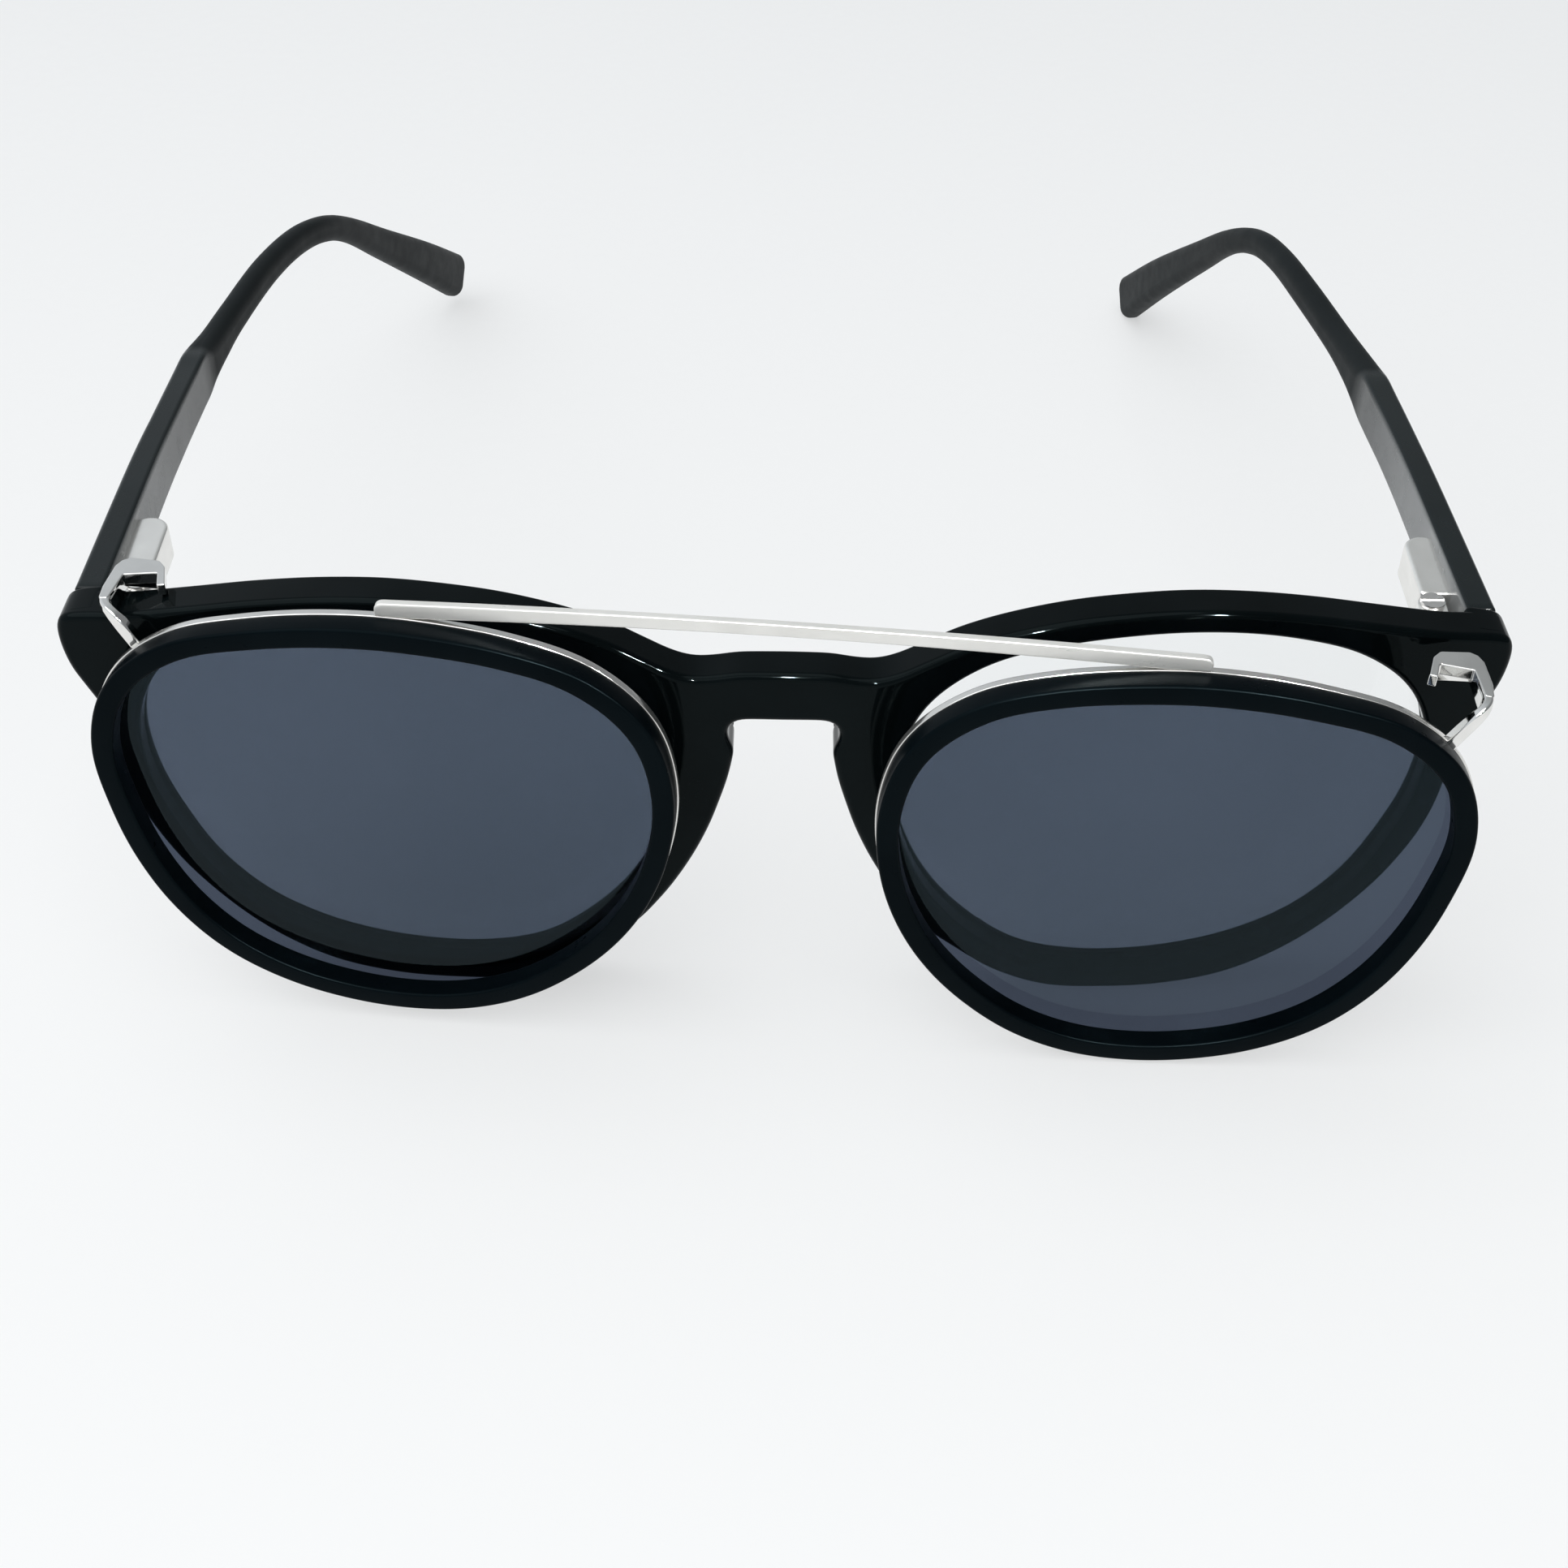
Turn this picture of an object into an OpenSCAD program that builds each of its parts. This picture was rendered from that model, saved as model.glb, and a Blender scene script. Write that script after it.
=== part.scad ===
// Keyhole acetate spectacles with a clip-on pair of tinted lenses.
// X runs along the front (wearer's right is -X), -Y is the way the lenses
// face, +Z is up. The lower rims and the temple tips stand on Z = 0, and the
// origin is under the middle of the whole thing. Depths in the modules are
// counted from the front face at the bridge, and seat() moves them there.

/* [Front] */
// Distance between the two lens centres of the front
lens_pitch = 71; // [69:0.5:73]
// Height of the lens centres above the table
lens_z = 24; // [23.5:0.1:24.5]
// Face-form radius of the front, seen from above
face_r = 500; // [400:10:700]
// Thickness of the acetate front
front_t = 4.0; // [3.6:0.1:4.2]
// Depth of the clear lens behind the front face
lens_recess = 2.1; // [1.6:0.1:2.3]
// Thickness of the clear lens
lens_t = 1.0; // [0.8:0.1:1.1]
// Lean of the front, foot forward
front_lean = -2.2; // [-2.4:0.1:-2]
// Depth of the lens groove in the rim
groove = 0.6; // [0.4:0.1:0.8]

/* [Temples] */
// Height of a temple at the hinge end
temple_h = 5.8; // [5:0.1:6]
// Thickness of a temple at the hinge end
temple_t = 2.9; // [2.5:0.1:3]
// Diameter of the core wire inside a temple
wire_d = 1.3; // [1:0.1:1.5]

/* [Spring hinge] */
// Distance of the hinge screw from the middle of the front
pin_x = 60.6; // [60.4:0.1:60.8]
// Depth of the hinge screw behind the middle of the front
pin_y = 11.2; // [11:0.1:11.4]
// Diameter of the hinge screw's shank
pin_d = 1.4; // [1.2:0.05:1.6]
// Running clearance around the shank, on the radius
pin_gap = 0.04; // [0.02:0.01:0.08]
// Travel of the spring carriage
spring_travel = 1.2; // [0.8:0.1:1.2]

/* [Clip-on] */
// Distance between the two clip lens centres
clip_pitch = 72; // [71:0.5:73]
// Radial width of the black clip ring
ring_w = 2.1; // [1.6:0.1:2.4]
// Depth of the black clip ring
ring_t = 2.2; // [1.8:0.1:2.4]
// Depth of the metal rim behind the ring
rim_t = 0.9; // [0.7:0.1:1]
// Height of the brow bar
bar_h = 1.25; // [1:0.05:1.5]
// Thickness of the hook strip
hook_t = 1.2; // [1:0.1:1.3]
// Turn of the clip-on about the upright, as it hangs
clip_yaw = -3.35; // [-3.6:0.05:-3.1]
// Lean of the clip-on, foot forward, as it hangs
clip_lean = -3.1; // [-3.3:0.1:-2.9]
// Tilt of the clip-on to one side, as it hangs
clip_tilt = 1.05; // [0.8:0.05:1.1]
// Turn of each clip lens, outer end back
clip_wrap = 1.75; // [1.25:0.25:2.25]

/* [Hidden] */
$fn = 48;

// Depth of the origin behind the front face at the bridge
seat_y = 62.45;
// Middle of the clip-on, between its lens centres, on its front face
clip_at = [-0.7, -7.1, 24.55];
// Outline of half the front, from the top of the bridge outwards and round
half_outline = [[0, 40.4], [4, 40.3], [6.4, 39.9], [8.4, 39.8], [10.4, 40.4],
  [13, 41.8], [16, 43.4], [20, 44.85], [25, 46.05], [30, 46.7], [36, 47],
  [42, 46.65], [48, 45.8], [54, 44.6], [60, 43.4], [64, 42.95], [65.9, 42.5],
  [66.65, 41.3], [66.7, 39.1], [66.2, 36.6], [65.2, 34.4], [64.1, 32],
  [63.5, 29], [63.4, 25.5], [62.8, 21.5], [61.4, 17.4], [58.7, 12.5],
  [54.6, 7.6], [50.2, 4], [45, 1.4], [39, 0.2], [33, 0.05], [27, 0.6],
  [21.6, 2.9], [17.2, 6.3], [14.2, 9], [11.7, 12.4], [9.9, 15.4],
  [8.3, 18.6], [7, 21.8], [6.1, 24.6], [5.2, 27.8], [4.7, 30.4],
  [4.6, 31.4], [5, 32.3], [5.2, 33.3], [5, 34.2], [4.4, 34.8], [3.4, 35],
  [0, 35]];
// Reach of the lens opening from its centre, every 15 degrees from outwards
opening_r = [25.1, 26, 25.9, 24.4, 22.4, 21.1, 20.6, 20.95, 22.3, 24.4, 25.7, 25.4,
  24.7, 23.9, 23.3, 22.9, 22.8, 22.05, 21.55, 21.65, 22.3, 23.15, 23.7, 24.1];
// Reach of the clip ring from its centre, every 15 degrees from outwards
ring_r = [26.7, 28.2, 28.6, 27, 24.5, 23.1, 22.7, 23.2, 24.8, 27.1, 28.3, 27.6,
  26.3, 25.2, 24.4, 23.9, 23.8, 23.7, 23.6, 23.8, 24.4, 25.1, 25.5, 25.9];
// Centre line of each temple: X, Y, Z, then its thickness and height there
temple_right = [[64.45, 8.95, 39.5, temple_t, temple_h],
  [64.45, 30, 39.2, temple_t - 0.15, temple_h - 0.35],
  [64.25, 40, 38.95, temple_t - 0.25, temple_h - 0.6],
  [64.05, 48, 38.65, temple_t - 0.25, temple_h - 0.7],
  [63.85, 53, 38.5, 3.1, 4.8], [63.3, 58, 38.4, 2.9, 4], [62.55, 64, 38.35, 2.75, 3.5],
  [60.95, 75, 37.9, 2.7, 3.4], [59.05, 84, 36.8, 2.6, 3.25], [57.15, 91, 34.7, 2.5, 3.1],
  [55.65, 98, 30.7, 2.5, 3.2], [53.9, 108, 23.4, 2.7, 4], [51.25, 121.5, 13.4, 3, 5.3],
  [49.2, 133, 4.7, 3, 6.1]];
temple_left = [[64.45, 8.95, 39.5, temple_t, temple_h],
  [63.95, 30, 39, temple_t - 0.2, temple_h - 0.4],
  [63.65, 40, 38.6, temple_t - 0.25, temple_h - 0.6],
  [63.3, 48, 38.2, temple_t - 0.2, temple_h - 0.6],
  [63.1, 53, 37.9, 3.15, 4.9], [62.6, 58, 37.8, 2.95, 4.15], [61.7, 64, 37.7, 2.75, 3.5],
  [60.05, 75, 37.1, 2.7, 3.35], [58.65, 84, 36.3, 2.6, 3.2], [57.2, 91, 34.75, 2.5, 3.1],
  [55.55, 98, 31, 2.45, 3.15], [53.95, 108, 23.3, 2.7, 4], [51.65, 121, 12.8, 3, 5.25],
  [50, 133, 2.8, 3, 6.1]];

// Smooth curve through points: one span, and a whole open or closed run
function cr(a, b, c, d, t) = 0.5 * (2 * b + (c - a) * t
  + (2 * a - 5 * b + 4 * c - d) * t * t + (3 * b - a - 3 * c + d) * t * t * t);
function at(p, i) = p[min(max(i, 0), len(p) - 1)];
function run_open(p, n) = [for (i = [0 : len(p) - 2], k = [0 : n - 1])
  cr(at(p, i - 1), p[i], p[i + 1], at(p, i + 2), k / n), p[len(p) - 1]];
function wrap(p, i) = p[(i + len(p)) % len(p)];
function reach(r, a) = let (u = a / 15, i = floor(u))
  cr(wrap(r, i - 1), wrap(r, i), wrap(r, i + 1), wrap(r, i + 2), u - i);
// Closed lens shape from its reaches, grown by g, opening towards s
function shape(r, g, s) = [for (a = [0 : 5 : 355])
  (reach(r, a) + g) * [s * cos(a), sin(a)]];
function front_half() = run_open(half_outline, 4);
function front_outline() = let (h = front_half(), n = len(h))
  concat(h, [for (i = [n - 2 : -1 : 1]) [-h[i][0], h[i][1]]]);

// A flat shape in X and Z, made solid from depth y0 back to y1
module slab(points, y0, y1)
  translate([0, y1, 0]) rotate([90, 0, 0])
    linear_extrude(y1 - y0) polygon(points);
// The space between two depths behind the curved front face
module shell(d0, d1)
  translate([0, face_r, -5]) difference() {
    cylinder(r = face_r - d0, h = 60, $fn = 360);
    translate([0, 0, -1]) cylinder(r = face_r - d1, h = 62, $fn = 360);
  }
// A solid drawn through rings of points
module loft(rings) {
  n = len(rings[0]);
  m = len(rings);
  polyhedron(points = [for (r = rings, p = r) p], faces = concat(
    [[for (k = [0 : n - 1]) k]],
    [for (i = [0 : m - 2], k = [0 : n - 1], h = [0, 1]) let (j = (k + 1) % n)
      h == 0 ? [i * n + k, (i + 1) * n + k, (i + 1) * n + j]
             : [i * n + k, (i + 1) * n + j, i * n + j]],
    [[for (k = [n - 1 : -1 : 0]) (m - 1) * n + k]]));
}
function unit(v) = v / norm(v);
function low(v) = [v[0], v[1], v[2]];
// A ring across the path: the temple's rounded section, or the round wire's
function section(p, d, s, w, h, e) = let (t = unit(d),
  side = unit(cross(t, [0, 0, 1])), up = cross(side, t))
  [for (k = [0 : 15]) let (a = k * 22.5 + 11.25, c = cos(a), q = sin(a))
    let (o = low(p) + side * (w / 2) * sign(c) * pow(abs(c), e)
                    + up * (h / 2) * sign(q) * pow(abs(q), e))
    [s * o[0], o[1], o[2]]];
function temple_run(s) = run_open(s < 0 ? temple_right : temple_left, 4);
function dir(p, i) = low(at(p, i + 1)) - low(at(p, i - 1));
function order(s, r) = s > 0 ? r : [for (i = [len(r) - 1 : -1 : 0]) r[i]];
// Rings of the temple, with two small ones that round its tip
function temple_rings(s) = let (p = temple_run(s), n = len(p),
    e = unit(dir(p, n - 1)), f = [0, 1, 0])
  concat([section(p[0], f, s, p[0][3], p[0][4], 0.45)],
    [for (i = [1 : n - 1]) section(p[i], dir(p, i), s, p[i][3], p[i][4], 0.45)],
    [section(low(p[n - 1]) + 1.3 * e, e, s, 2.7, 5.0, 0.6),
     section(low(p[n - 1]) + 2.2 * e, e, s, 1.6, 2.8, 0.7)]);
function wire_rings(s, d) = let (p = temple_run(s), n = len(p))
  [for (i = [14 : 2 : n - 3]) section(p[i], dir(p, i), s, d, d, 1)];

module seat() translate([0, -seat_y, 0]) children();
// The clip-on's own frame, as it hangs on the front
module on_clip() seat() translate(clip_at) rotate([0, 0, clip_yaw])
  rotate([clip_lean, 0, 0]) rotate([0, clip_tilt, 0]) children();
module lens_place(s) translate([s * lens_pitch / 2, 0, lens_z]) children();
module clip_place(s) translate([s * clip_pitch / 2, 0, 0])
  rotate([0, 0, s * clip_wrap]) children();

// ---- Front --------------------------------------------------------------
// The front leans with its foot forward, turned near the brow
module lean() translate([0, 3, 43.06]) rotate([front_lean, 0, 0])
  translate([0, -3, -43]) children();
module front_frame() color("#15181a") seat() difference() {
  lean() union() {
    intersection() {
      slab(front_outline(), -2, 14);
      shell(0, front_t);
    }
    // End-piece lips that the temples close against
    for (s = [-1, 1]) intersection() {
      slab(front_outline(), -2, 8.8);
      translate([s > 0 ? 62.7 : -67, 5, 36.2]) cube([4.3, 4, 10]);
    }
  }
  for (s = [-1, 1]) {
    lean() lens_place(s) slab(shape(opening_r, 0, s), -4, 16);
    lean() intersection() {
      lens_place(s) slab(shape(opening_r, groove + 0.03, s), -4, 16);
      shell(lens_recess - 0.03, lens_recess + lens_t + 0.03);
    }
    // Pocket for the front leaf
    translate([s > 0 ? 58.7 : -62.4, 6.5, 37.1]) cube([3.7, 8, 4.1]);
  }
}
module clear_lens(s) color("#dfe8ea", 0.35) seat() lean() intersection() {
  lens_place(s) slab(shape(opening_r, groove, s), -4, 16);
  shell(lens_recess, lens_recess + lens_t);
}
// Built-up nose pad on the back of the rim: a run of rounded sections, each
// given by its height, its place across, its half width and its bulge
pad_path = [[34.3, 5.9, 0.4, 0.3], [34, 5.95, 0.95, 0.75], [33.4, 6.05, 1.4, 1.1],
  [32.4, 6.25, 1.62, 1.4], [30.8, 6.6, 1.8, 1.65], [29.2, 7, 1.95, 1.85],
  [26, 7.9, 2, 2], [23.4, 8.65, 2.05, 2.15], [21.6, 9.2, 2.05, 2.2],
  [20.6, 9.45, 1.8, 1.9], [19.9, 9.6, 1.3, 1.3], [19.55, 9.7, 0.6, 0.5]];
function back_y(x) = face_r - sqrt(pow(face_r - front_t, 2) - x * x);
function pad_ring(p, s) = [for (a = [0 : 15 : 180]) let (x = p[1] + p[2] * cos(a))
  [s * x, back_y(x) + 0.03 + p[3] * sin(a), p[0]]];
module nose_pad(s) color("#4a4f52") seat() lean()
  loft([for (p = run_open(pad_path, 3)) order(-s, pad_ring(p, s))]);

// ---- Spring hinge -------------------------------------------------------
module at_pin(s) translate([s * pin_x, pin_y, 0]) children();
module front_leaf(s) color("#c4c2bc") seat() difference() {
  union() {
    // Plate let into the back of the front
    translate([s > 0 ? 58.75 : -62.35, 6.55, 37.15]) cube([3.6, 1.9, 4.0]);
    // Two knuckles with their webs
    for (z = [37.15, 39.9]) {
      at_pin(s) translate([0, 0, z]) cylinder(d = 2.7, h = 1.25);
      translate([s * pin_x - 1.35, 8.2, z]) cube([2.7, pin_y - 8.2, 1.25]);
    }
  }
  at_pin(s) translate([0, 0, 36]) cylinder(d = pin_d + 2 * pin_gap, h = 7);
}
module hinge_screw(s) color("#d9d7d2") seat() difference() {
  at_pin(s) union() {
    translate([0, 0, 36.95]) cylinder(d = pin_d, h = 4.3);
    translate([0, 0, 41.17]) cylinder(d = 2.3, h = 0.45);
  }
  // Screwdriver slot
  at_pin(s) translate([-2, -0.2, 41.4]) cube([4, 0.4, 1]);
}
rod_x = 61.75;
rod_z = 39.15;
rod_end = 19.2;
module spring_carriage(s) color("#bdbbb5") seat() difference() {
  union() {
    at_pin(s) translate([0, 0, 38.45]) cylinder(d = 2.6, h = 1.4);
    // Neck from the knuckle to the rod
    translate([s > 0 ? pin_x - 0.2 : -rod_x - 0.6, pin_y, 38.45])
      cube([rod_x + 0.8 - pin_x, 1.8, 1.4]);
    translate([s * rod_x, pin_y + 1, rod_z]) rotate([-90, 0, 0])
      cylinder(d = 0.8, h = rod_end - pin_y - 1);
    translate([s * rod_x, rod_end, rod_z]) rotate([-90, 0, 0])
      cylinder(d = 1.7, h = 0.6);
  }
  at_pin(s) translate([0, 0, 37]) cylinder(d = pin_d + 2 * pin_gap, h = 5);
}
module spring_box(s) color("#cbc9c4") seat() difference() {
  union() {
    translate([s > 0 ? 59.95 : -63.85, 13.15, 37.2]) cube([3.9, 7.25, 3.7]);
    // Rounded far end
    translate([s * 61.9, 20.4, 37.2]) cylinder(r = 1.95, h = 3.7);
  }
  translate([s * rod_x, 14.2, rod_z]) rotate([-90, 0, 0])
    cylinder(d = 1.9, h = rod_end + 0.85 - 14.2);
  translate([s * rod_x, 12, rod_z]) rotate([-90, 0, 0])
    cylinder(d = 0.9, h = 6);
}
// Coil of round wire along Y around the carriage rod
module hinge_spring(s) color("#a9a7a2") seat() loft([for (i = [0 : 60])
  let (a = i * 36, y = 14.55 + i * (rod_end - 14.9 - spring_travel) / 60, t = [-sin(a), 0, cos(a)],
    m = [cos(a), 0, sin(a)])
  order(s, [for (k = [0 : 5]) let (b = k * 60)
    [s * rod_x + s * (0.67 + 0.14 * cos(b)) * m[0],
     y + 0.14 * sin(b), rod_z + (0.67 + 0.14 * cos(b)) * m[2]]])]);

// ---- Temples ------------------------------------------------------------
module temple(s) color("#1d2425") seat()
  loft([for (r = temple_rings(s)) order(-s, r)]);
// Wire driven into the temple from the hinge end
module core_wire(s) color("#b3b1ab") seat()
  loft([for (r = wire_rings(s, wire_d)) order(-s, r)]);

// ---- Clip-on ------------------------------------------------------------
module ring_slab(s, g, y0, y1)
  clip_place(s) slab(shape(ring_r, g, s), y0, y1);
module clip_ring(s) color("#101314") on_clip() difference() {
  ring_slab(s, 0, 0, ring_t);
  ring_slab(s, -ring_w, -1, ring_t + 1);
}
module clip_rim(s) color("#cfccc6") on_clip() difference() {
  ring_slab(s, 0.12, ring_t, ring_t + rim_t);
  ring_slab(s, -1.05, ring_t - 1, ring_t + rim_t + 1);
}
module clip_lens(s) color("#48505f", 0.8) on_clip()
  ring_slab(s, -1.1, ring_t + 0.02, ring_t + rim_t - 0.05);
// The bar rises a little in the middle: its height above the lens centres
bar_x = 0.6;
bar_end = 36.5;
function bar_z(x) = 22.9 + 0.6 * (1 - pow(x / bar_end, 2));
function bar_outline() = concat(
  [for (x = [-36.5 : 3.65 : 36.6]) [x + bar_x, bar_z(x) - 0.3 * pow(x / bar_end, 2)]],
  [for (x = [36.5, 36.3, 35.9]) [x + bar_x, bar_z(x) + bar_h - (x - 35.9) * (x - 35.9)]],
  [for (x = [32.85 : -3.65 : -33]) [x + bar_x, bar_z(x) + bar_h]],
  [for (x = [35.9, 36.3, 36.5]) [bar_x - x, bar_z(x) + bar_h - (x - 35.9) * (x - 35.9)]]);
module clip_brow_bar() color("#d6d3cd") on_clip() difference() {
  slab(bar_outline(), ring_t, ring_t + rim_t);
  for (s = [-1, 1]) ring_slab(s, 0.12, ring_t - 1, ring_t + rim_t + 1);
}
// Each hook is bent by hand a little differently: its loop and its leg,
// across and in depth
function loop_set(s) = s < 0 ? [-0.1, 0.5] : [0.45, -0.4];
function leg_set(s) = s < 0 ? [-0.4, 0.4] : [0.8, -0.4];
module plan(points, z0, z1)
  translate([0, 0, z0]) linear_extrude(z1 - z0) polygon(points);
module clip_hook(s) color("#cfccc6") on_clip() difference() {
  let (d = leg_set(s)[0] - loop_set(s)[0])
  clip_place(s) mirror([s > 0 ? 0 : 1, 0, 0]) union() {
    translate([loop_set(s)[0] - clip_pitch / 2, loop_set(s)[1], 0]) union() {
      // Strip across the top of the end-piece
      plan([[62.25 - hook_t, 4.2], [62, 4.2], [62.25, 6.2], [62.2, 9.6], [61.9, 10.3],
        [62.25 - hook_t, 9.9]], 18.4, 20.4);
      // Wall that drops behind the front, and its wider upper edge
      plan([[62.15, 9.3], [62.1, 9.8], [61.8, 10.5], [61.2, 10.95], [58.6, 10.9],
        [57.7, 10.1], [58, 9.3]], 18.15, 20.4);
      plan([[57.95, 8.9], [61.3, 8.2], [61.6, 9.6], [58.2, 9.9]], 19.2, 20.4);
      // Free end, turned forward over the rim
      plan([[56.85, 7.2], [57.55, 6.95], [58.4, 9], [58.4, 10], [57.75, 10.05]],
        19.3, 20.4);
      // Neck down to the leg
      plan([[62.25 - hook_t, 4.7], [61.95, 4.7], [61.5 + d / 2, 3.2], [60.95 + d, 2.35],
        [59.9 + d, 2.35], [60.5 + d / 2, 3.2]], 19.3, 20.4);
    }
    // Leg to the rim
    translate([leg_set(s)[0] - clip_pitch / 2, leg_set(s)[1], 0])
      slab([[59.8, 20.35], [60.9, 20.35], [61.05, 19.6], [58.9, 15.6], [57.4, 15.6]],
        2.3, 3.5);
  }
  ring_slab(s, 0.12, -1, ring_t + rim_t + 2);
}

front_frame();
clear_lens(-1);  // clear_lens_right
clear_lens(1);  // clear_lens_left
nose_pad(-1);  // nose_pad_right
nose_pad(1);  // nose_pad_left
front_leaf(-1);  // front_leaf_right
front_leaf(1);  // front_leaf_left
hinge_screw(-1);  // hinge_screw_right
hinge_screw(1);  // hinge_screw_left
spring_carriage(-1);  // spring_carriage_right
spring_carriage(1);  // spring_carriage_left
spring_box(-1);  // spring_box_right
spring_box(1);  // spring_box_left
hinge_spring(-1);  // hinge_spring_right
hinge_spring(1);  // hinge_spring_left
temple(-1);  // temple_right
temple(1);  // temple_left
core_wire(-1);  // core_wire_right
core_wire(1);  // core_wire_left
clip_ring(-1);  // clip_ring_right
clip_ring(1);  // clip_ring_left
clip_rim(-1);  // clip_rim_right
clip_rim(1);  // clip_rim_left
clip_lens(-1);  // clip_lens_right
clip_lens(1);  // clip_lens_left
clip_brow_bar();
clip_hook(-1);  // clip_hook_right
clip_hook(1);  // clip_hook_left
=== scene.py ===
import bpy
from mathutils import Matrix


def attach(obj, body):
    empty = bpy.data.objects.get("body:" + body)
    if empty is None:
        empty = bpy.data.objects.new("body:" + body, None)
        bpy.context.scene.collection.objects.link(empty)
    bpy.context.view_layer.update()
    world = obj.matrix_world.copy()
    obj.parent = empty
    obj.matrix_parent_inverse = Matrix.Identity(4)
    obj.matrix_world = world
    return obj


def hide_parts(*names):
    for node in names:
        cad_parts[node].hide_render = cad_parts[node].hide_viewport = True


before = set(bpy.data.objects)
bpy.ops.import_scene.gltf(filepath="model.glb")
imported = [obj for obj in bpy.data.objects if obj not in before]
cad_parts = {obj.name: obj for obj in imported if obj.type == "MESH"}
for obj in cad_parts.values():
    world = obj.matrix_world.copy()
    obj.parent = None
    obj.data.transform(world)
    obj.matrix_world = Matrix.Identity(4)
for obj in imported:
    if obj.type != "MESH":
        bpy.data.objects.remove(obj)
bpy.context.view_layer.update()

import math

import bmesh
import bpy
import numpy as np
from mathutils import Matrix, Vector
from mathutils.geometry import delaunay_2d_cdt

# Lengths below are in millimetres, with depth counted from the front face at
# the bridge, as in the CAD model. row() brings them to metres in the row frame.
SEAT = 62.45
FACE_R = 500.0
FRONT_T = 4.0
LENS_X, LENS_Z = 35.5, 24.0
CLIP_X = 36.0

HALF_OUTLINE = [
    (0, 40.4), (4, 40.3), (6.4, 39.9), (8.4, 39.8), (10.4, 40.4), (13, 41.8), (16, 43.4), (20, 44.85),
    (25, 46.05), (30, 46.7), (36, 47), (42, 46.65), (48, 45.8), (54, 44.6), (60, 43.4), (64, 42.95),
    (65.9, 42.5), (66.65, 41.3), (66.7, 39.1), (66.2, 36.6), (65.2, 34.4), (64.1, 32), (63.5, 29),
    (63.4, 25.5), (62.8, 21.5), (61.4, 17.4), (58.7, 12.5), (54.6, 7.6), (50.2, 4), (45, 1.4),
    (39, 0.2), (33, 0.05), (27, 0.6), (21.6, 2.9), (17.2, 6.3), (14.2, 9), (11.7, 12.4), (9.9, 15.4),
    (8.3, 18.6), (7, 21.8), (6.1, 24.6), (5.2, 27.8), (4.7, 30.4), (4.6, 31.4), (5, 32.3), (5.2, 33.3),
    (5, 34.2), (4.4, 34.8), (3.4, 35), (0, 35),
]
OPENING_R = [25.1, 26, 25.9, 24.4, 22.4, 21.1, 20.6, 20.95, 22.3, 24.4, 25.7, 25.4,
             24.7, 23.9, 23.3, 22.9, 22.8, 22.05, 21.55, 21.65, 22.3, 23.15, 23.7, 24.1]
RING_R = [26.7, 28.2, 28.6, 27, 24.5, 23.1, 22.7, 23.2, 24.8, 27.1, 28.3, 27.6,
          26.3, 25.2, 24.4, 23.9, 23.8, 23.7, 23.6, 23.8, 24.4, 25.1, 25.5, 25.9]
# Each temple: X, Y, Z of the middle line, thickness, height, and the section's corner radius.
# The flat front part ends in a short step to the rounder rear part.
TEMPLE = {
    -1: [
        (64.45, 8.95, 39.5, 2.9, 5.8, 0.5), (64.45, 30, 39.2, 2.75, 5.45, 0.5), (64.25, 40, 38.95, 2.65, 5.2, 0.5),
        (64.05, 48, 38.65, 2.65, 5.1, 0.5), (63.93, 51.3, 38.56, 2.65, 5.08, 0.5), (63.82, 53.9, 38.48, 3.1, 4.65, 1.2),
        (63.3, 58, 38.4, 2.9, 4, 1.3), (62.55, 64, 38.35, 2.75, 3.5, 1.25), (60.95, 75, 37.9, 2.7, 3.4, 1.25),
        (59.05, 84, 36.8, 2.6, 3.25, 1.2), (57.15, 91, 34.7, 2.5, 3.1, 1.15), (55.65, 98, 30.7, 2.5, 3.2, 1.15),
        (53.9, 108, 23.4, 2.7, 4, 1.2), (51.25, 121.5, 13.4, 3, 5.3, 1.25), (49.2, 133, 4.7, 3, 6.1, 1.2),
    ],
    1: [
        (64.45, 8.95, 39.5, 2.9, 5.8, 0.5), (63.95, 30, 39, 2.7, 5.4, 0.5), (63.65, 40, 38.6, 2.65, 5.2, 0.5),
        (63.3, 48, 38.2, 2.7, 5.2, 0.5), (63.17, 51.3, 38.02, 2.7, 5.15, 0.5), (63.05, 53.9, 37.88, 3.15, 4.75, 1.2),
        (62.6, 58, 37.8, 2.95, 4.15, 1.3), (61.7, 64, 37.7, 2.75, 3.5, 1.25), (60.05, 75, 37.1, 2.7, 3.35, 1.25),
        (58.65, 84, 36.3, 2.6, 3.2, 1.2), (57.2, 91, 34.75, 2.5, 3.1, 1.15), (55.55, 98, 31, 2.45, 3.15, 1.15),
        (53.95, 108, 23.3, 2.7, 4, 1.2), (51.65, 121, 12.8, 3, 5.25, 1.25), (50, 133, 2.8, 3, 6.1, 1.2),
    ],
}
# Nose pad: height, place across, half width, bulge
PAD = [
    (34.3, 5.9, 0.4, 0.3), (34, 5.95, 0.95, 0.75), (33.4, 6.05, 1.4, 1.1), (32.4, 6.25, 1.62, 1.4),
    (30.8, 6.6, 1.8, 1.65), (29.2, 7, 1.95, 1.85), (26, 7.9, 2, 2), (23.4, 8.65, 2.05, 2.15),
    (21.6, 9.2, 2.05, 2.2), (20.6, 9.45, 1.8, 1.9), (19.9, 9.6, 1.3, 1.3), (19.55, 9.7, 0.6, 0.5),
]


# ---- Curves and outlines ---------------------------------------------------
def turn(axis, deg):
    return np.array(Matrix.Rotation(math.radians(deg), 3, axis))


CLIP_AT = np.array([-0.7, -7.1, 24.55])
CLIP_TURN = turn("Z", -3.35) @ turn("X", -3.1) @ turn("Y", 1.05)


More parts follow.
